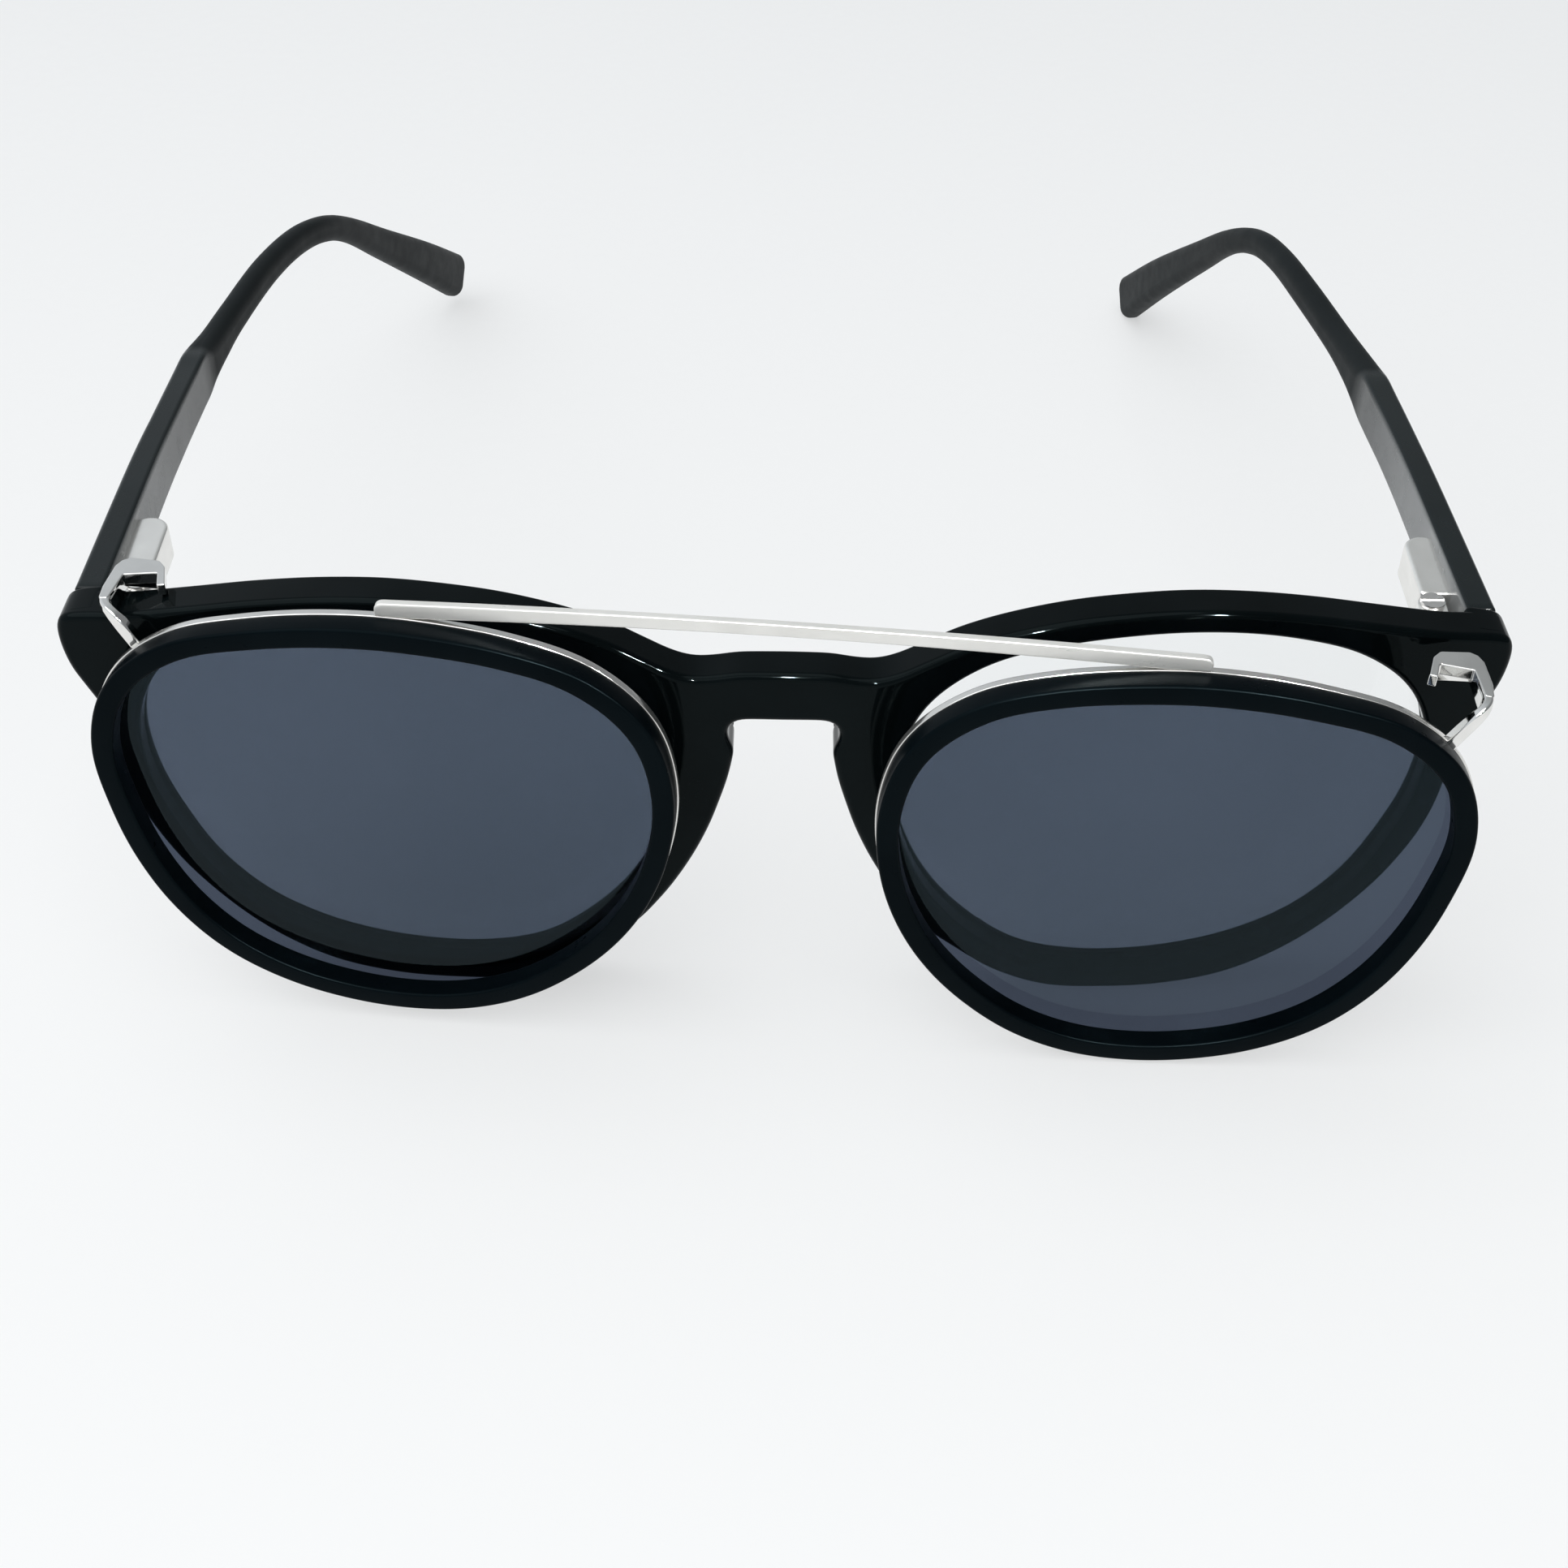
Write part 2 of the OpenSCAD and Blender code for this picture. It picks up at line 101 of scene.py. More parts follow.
FRONT_LEAN = turn("X", -2.2)


def leaned(p):
    """The front leans with its foot forward, turned near the brow."""
    return (np.asarray(p, float) - [0, 3, 43]) @ FRONT_LEAN.T + [0, 3, 43.06]


def on_clip(p):
    return np.asarray(p, float) @ CLIP_TURN.T + CLIP_AT


def on_lens(p, s):
    """A clip lens's own frame, turned at its centre with the outer end back."""
    mid = np.array([s * CLIP_X, 0, 0])
    return on_clip((np.asarray(p, float) - mid) @ turn("Z", s * 1.75).T + mid)


# Each hook is bent a little differently: its loop, and how far its leg stands from that
LOOP_SET = {-1: (-0.1, 0.5, 0), 1: (0.45, -0.4, 0)}
LEG_MORE = {-1: (-0.3, -0.1, 0), 1: (0.35, 0, 0)}


def on_hook(p, s):
    """A hook's frame: drawn for one side, mirrored for the other."""
    return on_lens((np.asarray(p, float) + LOOP_SET[s]) * [s, 1, 1], s)


def row(p):
    return (np.asarray(p, float) - [0, SEAT, 0]) * 0.001


def cr(a, b, c, d, t):
    return 0.5 * (2 * b + (c - a) * t + (2 * a - 5 * b + 4 * c - d) * t * t + (3 * b - a - 3 * c + d) * t ** 3)


def run_open(p, n):
    p = np.asarray(p, float)
    out = []
    for i in range(len(p) - 1):
        a, b, c, d = p[max(i - 1, 0)], p[i], p[i + 1], p[min(i + 2, len(p) - 1)]
        out += [cr(a, b, c, d, k / n) for k in range(n)]
    return np.array(out + [p[-1]])


def reach(r, a):
    i = math.floor(a / 15)
    n = len(r)
    return cr(r[(i - 1) % n], r[i % n], r[(i + 1) % n], r[(i + 2) % n], a / 15 - i)


def reaches(r, n=288):
    """Reach at n even steps, with the joins between spans eased."""
    v = np.array([reach(r, 360 * k / n) for k in range(n)])
    for _ in range(6):
        v = 0.25 * np.roll(v, 1) + 0.5 * v + 0.25 * np.roll(v, -1)
    return v


def shape(r, g, s, cx, cz, n=288):
    a = np.linspace(0, 2 * math.pi, n, endpoint=False)
    v = reaches(r, n) + g
    return np.c_[s * cx + s * v * np.cos(a), cz + v * np.sin(a)]


def resample(p, step):
    q = np.vstack([p, p[:1]])
    d = np.r_[0, np.cumsum(np.linalg.norm(np.diff(q, axis=0), axis=1))]
    n = max(8, int(round(d[-1] / step)))
    t = np.linspace(0, d[-1], n, endpoint=False)
    return np.c_[np.interp(t, d, q[:, 0]), np.interp(t, d, q[:, 1])]


def ease(p, times):
    for _ in range(times):
        p = 0.25 * np.roll(p, 1, 0) + 0.5 * p + 0.25 * np.roll(p, -1, 0)
    return p


def ccw(p):
    p = np.asarray(p, float)
    x, y = p[:, 0], p[:, 1]
    return p if np.sum(x * np.roll(y, -1) - np.roll(x, -1) * y) > 0 else p[::-1]


def outward(p):
    t = np.roll(p, -1, 0) - np.roll(p, 1, 0)
    t /= np.linalg.norm(t, axis=1)[:, None]
    return np.c_[t[:, 1], -t[:, 0]]


def fillet(points, radii, n=6):
    """A closed polygon with its corners rounded."""
    out = []
    m = len(points)
    for i, r in enumerate(radii):
        p = np.array(points[i], float)
        u = np.array(points[i - 1], float) - p
        v = np.array(points[(i + 1) % m], float) - p
        u /= np.linalg.norm(u)
        v /= np.linalg.norm(v)
        if r <= 0:
            out.append(p)
            continue
        half = math.acos(np.clip(u @ v, -1, 1)) / 2
        a, b = p + u * r / math.tan(half), p + v * r / math.tan(half)
        mid = (u + v) / np.linalg.norm(u + v)
        c = p + mid * r / math.sin(half)
        a0 = math.atan2(*(a - c)[::-1])
        a1 = math.atan2(*(b - c)[::-1])
        sweep = (a1 - a0 + math.pi) % (2 * math.pi) - math.pi
        out += [c + r * np.array([math.cos(a0 + sweep * k / n), math.sin(a0 + sweep * k / n)]) for k in range(n + 1)]
    return np.array(out)


def rrect(a, b, r, n=5):
    """Rounded section of half sizes a and b, with a short flat beside each corner."""
    r = min(r, 0.98 * a, 0.98 * b)
    out = []
    for sx, sy, a0 in ((1, 1, 0), (-1, 1, 90), (-1, -1, 180), (1, -1, 270)):
        arc = [(sx * (a - r) + r * math.cos(math.radians(a0 + 90 * k / n)),
                sy * (b - r) + r * math.sin(math.radians(a0 + 90 * k / n))) for k in range(n + 1)]
        e = 0.05 * min(1.0, (min(a, b) - r) / 0.05 + 0.02)
        t0, t1 = math.radians(a0), math.radians(a0 + 90)
        first = (arc[0][0] + e * math.sin(t0), arc[0][1] - e * math.cos(t0))
        last = (arc[-1][0] - e * math.sin(t1), arc[-1][1] + e * math.cos(t1))
        out += [first] + arc + [last]
    return np.array(out)


def inside(poly, pts):
    x0, y0 = poly[:, 0], poly[:, 1]
    x1, y1 = np.roll(x0, -1), np.roll(y0, -1)
    res = np.zeros(len(pts), bool)
    for k in range(0, len(pts), 1500):
        q = pts[k:k + 1500]
        up = (y0[None] > q[:, 1:2]) != (y1[None] > q[:, 1:2])
        dy = np.where(y1 == y0, 1e-12, y1 - y0)
        cross = q[:, 0:1] < (x1 - x0)[None] * (q[:, 1:2] - y0[None]) / dy[None] + x0[None]
        res[k:k + 1500] = np.sum(up & cross, axis=1) % 2 == 1
    return res


# ---- Solids ----------------------------------------------------------------
def quarter(r, n):
    return [(r * (1 - math.sin(t)), r * (1 - math.cos(t))) for t in np.linspace(0, math.pi / 2, n + 1)]


def edge_run(h0, h1, r0, r1, seg, cuts=()):
    """Inset and depth down the side of a plate, with rounded edges."""
    soft = 0.07
    lo = [(r0 + soft, h0)] + [(i, h0 + d) for i, d in quarter(r0, seg)]
    hi = [(i, h1 - d) for i, d in reversed(quarter(r1, seg))] + [(r1 + soft, h1)]
    mid = []
    if h1 - h0 > r0 + r1 + 3 * soft:
        mid = [(0, h0 + r0 + soft)] + list(cuts) + [(0, h1 - r1 - soft)]
    return lo + mid + hi


def untangled(q):
    """Draws the small loops that an inset leaves at tight corners in to where they cross."""
    q, n = np.array(q, float), len(q)
    for k in range(min(40, n // 2), 1, -1):
        a, c = q, np.roll(q, -k, 0)
        u, v, w = np.roll(a, -1, 0) - a, np.roll(c, -1, 0) - c, c - a
        det = u[:, 0] * v[:, 1] - u[:, 1] * v[:, 0]
        ok = np.abs(det) > 1e-12
        det = np.where(ok, det, 1.0)
        t = (w[:, 0] * v[:, 1] - w[:, 1] * v[:, 0]) / det
        s = (w[:, 0] * u[:, 1] - w[:, 1] * u[:, 0]) / det
        ok &= (t > 1e-9) & (t < 1 - 1e-9) & (s > 1e-9) & (s < 1 - 1e-9)
        at = a + t[:, None] * u
        for i in np.flatnonzero(ok):
            q[(i + 1 + np.arange(k)) % n] = at[i]
    return q


def plate(outer, holes, h0, h1, r0, r1, place, grid=0, seg=5, cuts=()):
    """A plate with rounded edges: flat shape in u and v, thickness h0 to h1."""
    verts, faces, rims, count = [], [], ([], []), 0
    polys = [(ccw(outer), -1.0)] + [(ccw(h), 1.0) for h in holes]
    for k, (poly, sign) in enumerate(polys):
        nrm, n = outward(poly), len(poly)
        prof = edge_run(h0, h1, r0, r1, seg, cuts if k else ())
        for inset, h in prof:
            verts.append(np.c_[untangled(poly + sign * nrm * inset), np.full(n, h)])
        for j in range(len(prof) - 1):
            a, b = count + j * n, count + (j + 1) * n
            faces += [(a + i, a + (i + 1) % n, b + (i + 1) % n, b + i) for i in range(n)]
        rims[0].append((count, n))
        rims[1].append((count + (len(prof) - 1) * n, n))
        count += len(prof) * n
    flat = np.vstack(verts)
    extra = []
    for side, rim in enumerate(rims):
        ids = np.concatenate([np.arange(a, a + n) for a, n in rim])
        uv = flat[ids, :2]
        edges, at = [], 0
        for a, n in rim:
            edges += [(at + i, at + (i + 1) % n) for i in range(n)]
            at += n
        loops = [flat[a:a + n, :2] for a, n in rim]
        more = np.zeros((0, 2))
        if grid:
            lo, hi = uv.min(0), uv.max(0)
            gx, gy = np.meshgrid(np.arange(lo[0], hi[0], grid), np.arange(lo[1], hi[1], grid))
            gx[1::2] += grid / 2
            g = np.c_[gx.ravel(), gy.ravel()]
            keep = inside(loops[0], g)
            for lp in loops[1:]:
                keep &= ~inside(lp, g)
            g = g[keep]
            far = np.array([np.min(np.sum((uv - q) ** 2, axis=1)) for q in g]) if len(g) else np.zeros(0)
            more = g[far > (0.55 * grid) ** 2]
        pts = np.vstack([uv, more])
        v2, _, tri, orig, _, _ = delaunay_2d_cdt([Vector(q) for q in pts], edges, [], 0, 1e-6)
        v2 = np.array([list(q) for q in v2])
        h = (h0, h1)[side]
        index = []
        for j, o in enumerate(orig):
            if o and o[0] < len(ids):
                index.append(int(ids[o[0]]))
            else:
                index.append(count)
                extra.append((v2[j][0], v2[j][1], h))
                count += 1
        mid = np.array([v2[list(t)].mean(0) for t in tri])
        span = np.array([v2[list(t)] for t in tri])
        ab, ac = span[:, 1] - span[:, 0], span[:, 2] - span[:, 0]
        keep = inside(loops[0], mid) & (np.abs(ab[:, 0] * ac[:, 1] - ab[:, 1] * ac[:, 0]) > 1e-6)
        for lp in loops[1:]:
            keep &= ~inside(lp, mid)
        faces += [tuple(index[i] for i in t) for t, k in zip(tri, keep) if k]
    if extra:
        flat = np.vstack([flat, np.array(extra)])
    return place(flat), faces


def loft(rings, closed=False):
    """Skin over rings of points, closed with a fan at each end unless the run is closed."""
    m, n = len(rings), len(rings[0])
    verts = [np.vstack(rings)]
    faces = []
    for j in range(m if closed else m - 1):
        a, b = j * n, ((j + 1) % m) * n
        faces += [(a + i, a + (i + 1) % n, b + (i + 1) % n, b + i) for i in range(n)]
    if not closed:
        for j, end in ((0, rings[0]), (m - 1, rings[-1])):
            c = m * n + (0 if j == 0 else 1)
            verts.append(np.mean(end, axis=0)[None])
            faces += [(j * n + i, j * n + (i + 1) % n, c) for i in range(n)]
    return np.vstack(verts), faces


def merged(*parts):
    verts, faces, at = [], [], 0
    for v, f in parts:
        verts.append(v)
        faces += [tuple(i + at for i in q) for q in f]
        at += len(v)
    return np.vstack(verts), faces


def make(name, solid, mat, sharp=32):
    verts, faces = solid
    me = bpy.data.meshes.new(name)
    me.from_pydata([tuple(v) for v in row(verts)], [], faces)
    bm = bmesh.new()
    bm.from_mesh(me)
    bmesh.ops.remove_doubles(bm, verts=bm.verts, dist=2e-7)
    bmesh.ops.dissolve_degenerate(bm, edges=bm.edges, dist=1e-8)
    bmesh.ops.recalc_face_normals(bm, faces=bm.faces)
    open_edges = sum(1 for e in bm.edges if len(e.link_faces) != 2)
    volume = bm.calc_volume(signed=True)
    bm.to_mesh(me)
    bm.free()
    if open_edges or volume <= 0:
        print("MESH", name, "open edges", open_edges, "volume mm3", round(volume * 1e9, 2))
    me.polygons.foreach_set("use_smooth", [True] * len(me.polygons))
    me.set_sharp_from_angle(angle=math.radians(sharp))
    me.materials.append(mat)
    ob = bpy.data.objects.new(name, me)
    bpy.context.scene.collection.objects.link(ob)
    return ob


def piece(name, solid, mat, body, node, sharp=32):
    ob = make(name, solid, mat, sharp)
    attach(ob, body)
    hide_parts(node)
    return ob


# ---- Materials -------------------------------------------------------------
def surface(name):
    mat = bpy.data.materials.new(name)
    mat.use_nodes = True
    nt = mat.node_tree
    nt.nodes.clear()
    out = nt.nodes.new("ShaderNodeOutputMaterial")
    b = nt.nodes.new("ShaderNodeBsdfPrincipled")
    nt.links.new(b.outputs["BSDF"], out.inputs["Surface"])
    tc = nt.nodes.new("ShaderNodeTexCoord")
    return mat, nt, b, tc.outputs["Object"]


def noise(nt, coord, scale, detail=3.0, rough=0.5, stretch=None):
    if stretch:
        mp = nt.nodes.new("ShaderNodeMapping")
        mp.inputs["Scale"].default_value = stretch
        nt.links.new(coord, mp.inputs["Vector"])
        coord = mp.outputs["Vector"]
    t = nt.nodes.new("ShaderNodeTexNoise")
    t.inputs["Scale"].default_value = scale
    t.inputs["Detail"].default_value = detail
    t.inputs["Roughness"].default_value = rough
    nt.links.new(coord, t.inputs["Vector"])
    return t.outputs["Fac"]


def ramp(nt, fac, stops):
    r = nt.nodes.new("ShaderNodeValToRGB")
    el = r.color_ramp.elements
    while len(el) < len(stops):
        el.new(0.5)
    for e, (pos, col) in zip(el, stops):
        e.position = pos
        e.color = (*col, 1)
    nt.links.new(fac, r.inputs["Fac"])
    return r.outputs["Color"]


def spread(nt, fac, lo, hi, a=0.3, b=0.7):
    m = nt.nodes.new("ShaderNodeMapRange")
    m.inputs["From Min"].default_value = a
    m.inputs["From Max"].default_value = b
    m.inputs["To Min"].default_value = lo
    m.inputs["To Max"].default_value = hi
    nt.links.new(fac, m.inputs["Value"])
    return m.outputs["Result"]


def bump(nt, b, height, strength, distance, under=None):
    n = nt.nodes.new("ShaderNodeBump")
    n.inputs["Strength"].default_value = strength
    n.inputs["Distance"].default_value = distance
    nt.links.new(height, n.inputs["Height"])
    if under:
        nt.links.new(under, n.inputs["Normal"])
    nt.links.new(n.outputs["Normal"], b.inputs["Normal"])
    return n.outputs["Normal"]


def acetate(name, dark, pale, rough, ior, tint, wave=0.25):
    """Polished sheet plastic: faint clouding, buffing haze and a slow ripple."""
    mat, nt, b, co = surface(name)
    nt.links.new(ramp(nt, noise(nt, co, 90, 4), [(0.3, dark), (0.7, pale)]), b.inputs["Base Color"])
    nt.links.new(spread(nt, noise(nt, co, 420, 5, 0.6), *rough), b.inputs["Roughness"])
    slow = bump(nt, b, noise(nt, co, 110, 1), wave, 0.00006)
    bump(nt, b, noise(nt, co, 2600, 3), 0.06, 0.00001, slow)
    b.inputs["IOR"].default_value = ior
    b.inputs["Specular Tint"].default_value = (*tint, 1)
    return mat


def temple_acetate(name, s):
    """The flat front part is polished, with a painted reflection on its inner face: pale grey that fades out towards
    the rear; the moulded rear part is matt.
    """
    mat, nt, b, co = surface(name)
    sep = nt.nodes.new("ShaderNodeSeparateXYZ")
    nt.links.new(co, sep.inputs["Vector"])
    rear = spread(nt, sep.outputs["Y"], 0.0, 1.0, -0.0106, -0.0086)
    # Painted reflection: surfaces of the front part that face inward are coloured pale grey, fading out towards the
    # rear, standing in for a sheen.
    facing = nt.nodes.new("ShaderNodeSeparateXYZ")
    nt.links.new(nt.nodes.new("ShaderNodeTexCoord").outputs["Normal"], facing.inputs["Vector"])
    inner = spread(nt, facing.outputs["X"], 0.0, 1.0, -0.6 * s, -0.95 * s)
    fade = nt.nodes.new("ShaderNodeMath")
    fade.operation = "MULTIPLY"
    nt.links.new(inner, fade.inputs[0])
    nt.links.new(spread(nt, sep.outputs["Y"], 1.0, 0.0, -0.036, -0.0106), fade.inputs[1])
    cloud = noise(nt, co, 90, 4)
    polished = ramp(nt, cloud, [(0.3, (0.003, 0.0065, 0.0072)), (0.7, (0.0062, 0.0105, 0.0115))])
    painted_inner_sheen = ramp(nt, cloud, [(0.3, (0.16, 0.166, 0.166)), (0.7, (0.225, 0.232, 0.232))])
    matt = ramp(nt, cloud, [(0.3, (0.0065, 0.009, 0.010)), (0.7, (0.010, 0.013, 0.014))])
    colour = polished
    for fac, other in ((fade.outputs["Value"], painted_inner_sheen), (rear, matt)):
        mix = nt.nodes.new("ShaderNodeMix")
        mix.data_type = "RGBA"
        nt.links.new(fac, mix.inputs["Factor"])
        nt.links.new(colour, mix.inputs[6])
        nt.links.new(other, mix.inputs[7])
        colour = mix.outputs[2]
    nt.links.new(colour, b.inputs["Base Color"])
    grain = noise(nt, co, 420, 5, 0.6)
    soft = nt.nodes.new("ShaderNodeMath")
    soft.operation = "MULTIPLY_ADD"
    nt.links.new(rear, soft.inputs[0])
    soft.inputs[1].default_value = 0.26
    nt.links.new(spread(nt, grain, 0.2, 0.3), soft.inputs[2])
    nt.links.new(soft.outputs["Value"], b.inputs["Roughness"])
    nt.links.new(spread(nt, rear, 0.5, 0.16, 0, 1), b.inputs["Specular IOR Level"])
    slow = bump(nt, b, noise(nt, co, 110, 1), 0.25, 0.00006)
    bump(nt, b, noise(nt, co, 2600, 3), 0.06, 0.00001, slow)
    b.inputs["IOR"].default_value = 1.33
    return mat


def metal(name, dark, pale, rough, grain, stretch, sheen=1.0, depth=0.12):
    """Plated or satin metal with a drawn grain."""
    mat, nt, b, co = surface(name)
    g = noise(nt, co, grain, 4, 0.6, stretch)
    cloud = noise(nt, co, 260, 3)
    nt.links.new(ramp(nt, cloud, [(0.3, dark), (0.7, pale)]), b.inputs["Base Color"])
    nt.links.new(spread(nt, g, *rough), b.inputs["Roughness"])
    bump(nt, b, g, depth, 0.000012)
    b.inputs["Metallic"].default_value = sheen
    return mat


def glass(name, dark, pale, ior, rough, tint):
    mat, nt, b, co = surface(name)
    nt.links.new(ramp(nt, noise(nt, co, 26, 2), [(0.3, dark), (0.7, pale)]), b.inputs["Base Color"])
    b.inputs["Transmission Weight"].default_value = 1.0
    b.inputs["Roughness"].default_value = rough
    b.inputs["IOR"].default_value = ior
    b.inputs["Specular Tint"].default_value = (*tint, 1)
    return mat


front_mat = acetate("acetate_front", (0.0012, 0.0022, 0.0025), (0.003, 0.0048, 0.0054), (0.03, 0.07), 1.15, (0.75, 0.97, 1.0))
pad_mat = acetate("acetate_pad", (0.012, 0.015, 0.016), (0.02, 0.024, 0.025), (0.22, 0.34), 1.28, (0.9, 0.98, 1.0))
temple_mat = {s: temple_acetate("acetate_temple_" + side, s) for s, side in ((-1, "right"), (1, "left"))}
ring_mat = acetate("ring_black", (0.0008, 0.002, 0.003), (0.002, 0.004, 0.0054), (0.26, 0.36), 1.11, (0.6, 0.9, 1.0), 0.15)
nickel_mat = metal("nickel_plate", (0.66, 0.65, 0.625), (0.76, 0.75, 0.725), (0.10, 0.2), 900, (0.15, 1, 1), 0.92)
bar_mat = metal("nickel_bar", (0.75, 0.74, 0.705), (0.82, 0.81, 0.775), (0.26, 0.34), 900, (0.15, 1, 1), 0.35, 0.02)
hook_mat = metal("nickel_strip", (0.74, 0.735, 0.715), (0.84, 0.835, 0.815), (0.05, 0.1), 1100, (1, 0.2, 1))
hinge_mat = metal("satin_nickel", (0.82, 0.81, 0.78), (0.91, 0.90, 0.87), (0.16, 0.26), 1500, (1, 0.12, 1), 0.85, 0.05)
screw_mat = metal("bright_steel", (0.70, 0.69, 0.67), (0.82, 0.81, 0.79), (0.16, 0.28), 1800, (1, 1, 0.2))
spring_mat = metal("drawn_wire", (0.52, 0.51, 0.5), (0.66, 0.65, 0.64), (0.24, 0.4), 2400, (1, 0.2, 1))
tint_mat = glass("tinted_glass", (0.065, 0.081, 0.116), (0.073, 0.091, 0.129), 1.26, 0.0, (0.5, 0.85, 1.0))
clear_mat = glass("clear_glass", (0.955, 0.975, 0.975), (0.975, 0.985, 0.985), 1.22, 0.0, (0.9, 1.0, 1.0))


# ---- Front -----------------------------------------------------------------
def bent(q):
    """u, v and depth behind the curved front face."""
    u, v, h = q[:, 0], q[:, 1], q[:, 2]
    return leaned(np.c_[u, FACE_R - np.sqrt((FACE_R - h) ** 2 - u ** 2), v])


def upright(q):
    return np.c_[q[:, 0], q[:, 2], q[:, 1]]


def flat_on_clip(q):
    return on_clip(upright(q))


half = run_open(HALF_OUTLINE, 12)
outline = np.vstack([half, np.c_[-half[-2:0:-1, 0], half[-2:0:-1, 1]]])
outline = ccw(ease(resample(outline, 0.2), 10))[::2]
openings = [shape(OPENING_R, 0, s, LENS_X, LENS_Z) for s in (-1, 1)]
groove = [(0, 2.02), (0.6, 2.07), (0.6, 3.13), (0, 3.18)]
parts = [plate(outline, openings, 0, FRONT_T, 0.65, 0.4, bent, grid=1.5, cuts=groove)]
for s in (-1, 1):
    lip = [p for p in outline if s * p[0] > 62.7 and p[1] > 36.2]
    lip = sorted(lip, key=lambda p: -math.atan2(p[1] - 39.5, s * p[0] - 63.2))
    poly = np.array([(s * 62.7, 36.2), (s * 62.7, 42.85)] + [tuple(p) for p in lip])
    poly = ccw(poly)
    fine = resample(poly, 0.12)
    soft = ease(fine, 14)
    soft = soft + outward(soft) * 0.02
    parts.append(plate(soft, [], 5.2, 8.8, 0.1, 0.4, lambda q: leaned(upright(q))))
front = piece("front_plate", merged(*parts), front_mat, "front", "front_frame")

for s, side in ((-1, "right"), (1, "left")):
    lens = plate(shape(OPENING_R, 0.55, s, LENS_X, LENS_Z), [], 2.1, 3.1, 0.12, 0.12, bent, grid=2.2, seg=3)
    piece("clear_lens_" + side + "_glass", lens, clear_mat, "front", "clear_lens_" + side)

    rings = []
    for z, x, w, d in run_open(PAD, 6):
        a = np.radians(np.linspace(0, 180, 25))
        px = x + w * np.cos(a)
        base = FACE_R - np.sqrt((FACE_R - FRONT_T) ** 2 - px ** 2)
        rings.append(leaned(np.c_[s * px, base + 0.03 + d * np.sin(a), np.full(len(a), z)]))
    piece("nose_pad_" + side + "_built", loft(rings), pad_mat, "front", "nose_pad_" + side, 50)


# ---- Temples ---------------------------------------------------------------
def temple_solid(s):
    p = run_open(TEMPLE[s], 14)
    xyz = p[:, :3]
    d = np.gradient(xyz, axis=0)
    d[0] = (0, 1, 0)
    d /= np.linalg.norm(d, axis=1)[:, None]
    rings = []

    def ring(c, t, w, h, r):
        side = np.cross(t, (0, 0, 1))
        side /= np.linalg.norm(side)
        up = np.cross(side, t)
        q = rrect(w / 2, h / 2, r)
        o = c + q[:, :1] * side + q[:, 1:] * up
        return o * [s, 1, 1]

    w, h, r = p[0, 3:6]
    for e, cut in ((0, 0.3), (0.03, 0.16), (0.1, 0.06), (0.22, 0)):
        rings.append(ring(xyz[0] + [0, e, 0], d[0], w - cut, h - cut, r))
    for i in range(1, len(p)):
        rings.append(ring(xyz[i], d[i], *p[i, 3:6]))
    e = d[-1]
    for out, w, h, r in ((0.4, 2.98, 5.85, 1.2), (0.8, 2.9, 5.5, 1.2), (1.2, 2.75, 5.0, 1.15), (1.55, 2.5, 4.4, 1.05),
                         (1.85, 2.1, 3.65, 0.9), (2.05, 1.6, 2.9, 0.72), (2.16, 1.1, 2.2, 0.5), (2.2, 0.6, 1.5, 0.28)):
        rings.append(ring(xyz[-1] + out * e, e, w, h, r))
    return loft(rings)


for s, side in ((-1, "right"), (1, "left")):
    piece("temple_" + side + "_arm", temple_solid(s), temple_mat[s], "temple_" + side, "temple_" + side)

    # Spring box: rounded case with a bore for the carriage rod and a chamber for the coil
    plan = fillet([(59.95, 13.15), (63.85, 13.15), (63.85, 22.35), (59.95, 22.35)], [0.45, 0.2, 1.9, 1.9], 14)
    box = make("spring_box_" + side + "_case",
               plate(plan * [s, 1], [], 37.2, 40.9, 0.35, 0.35, lambda q: q), hinge_mat)
    a = np.radians(np.linspace(0, 360, 32, endpoint=False))
    prof = [(12.6, 0.45), (14.2, 0.45), (14.2, 0.95), (20.05, 0.95)]
    core = make("bore_" + side, loft([np.c_[s * 61.75 + r * np.cos(a), np.full(32, y), 39.15 + r * np.sin(a)] for y, r in prof]), hinge_mat)
    cut = box.modifiers.new("bore", "BOOLEAN")
    cut.operation = "DIFFERENCE"
    cut.solver = "EXACT"
    cut.object = core
    bpy.context.view_layer.update()
    done = bpy.data.meshes.new_from_object(box.evaluated_get(bpy.context.evaluated_depsgraph_get()))
    box.modifiers.clear()
    box.data = done
    bpy.data.objects.remove(core)
    done.polygons.foreach_set("use_smooth", [True] * len(done.polygons))
    done.set_sharp_from_angle(angle=math.radians(32))
    done.materials.clear()
    done.materials.append(hinge_mat)
    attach(box, "temple_" + side)
    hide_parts("spring_box_" + side)

    # Small CAD nodes that stay, with new materials; the leaf, carriage and screw get their edges broken
    for node, mat, width in (("front_leaf_", hinge_mat, 0.00012), ("spring_carriage_", hinge_mat, 0.0001),
                             ("hinge_screw_", screw_mat, 0.00007), ("hinge_spring_", spring_mat, 0),
                             ("core_wire_", spring_mat, 0)):
        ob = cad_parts[node + side]
        ob.data.materials.clear()
        ob.data.materials.append(mat)
        if width:
            weld = ob.modifiers.new("weld", "WELD")
            weld.merge_threshold = 0.000002
            bev = ob.modifiers.new("edge", "BEVEL")
            bev.width = width
            bev.segments = 2
            bev.limit_method = "ANGLE"
            bev.angle_limit = math.radians(40)


# ---- Clip-on ---------------------------------------------------------------
def band(s, section):
    n = 288
    a = np.linspace(0, 2 * math.pi, n, endpoint=False)
    v = reaches(RING_R, n)
    rings = []
    for k in range(n):
        g = v[k] + section[:, 0]
        rings.append(on_lens(np.c_[s * CLIP_X + s * g * math.cos(a[k]), section[:, 1], g * math.sin(a[k])], s))
    return loft(rings, closed=True)


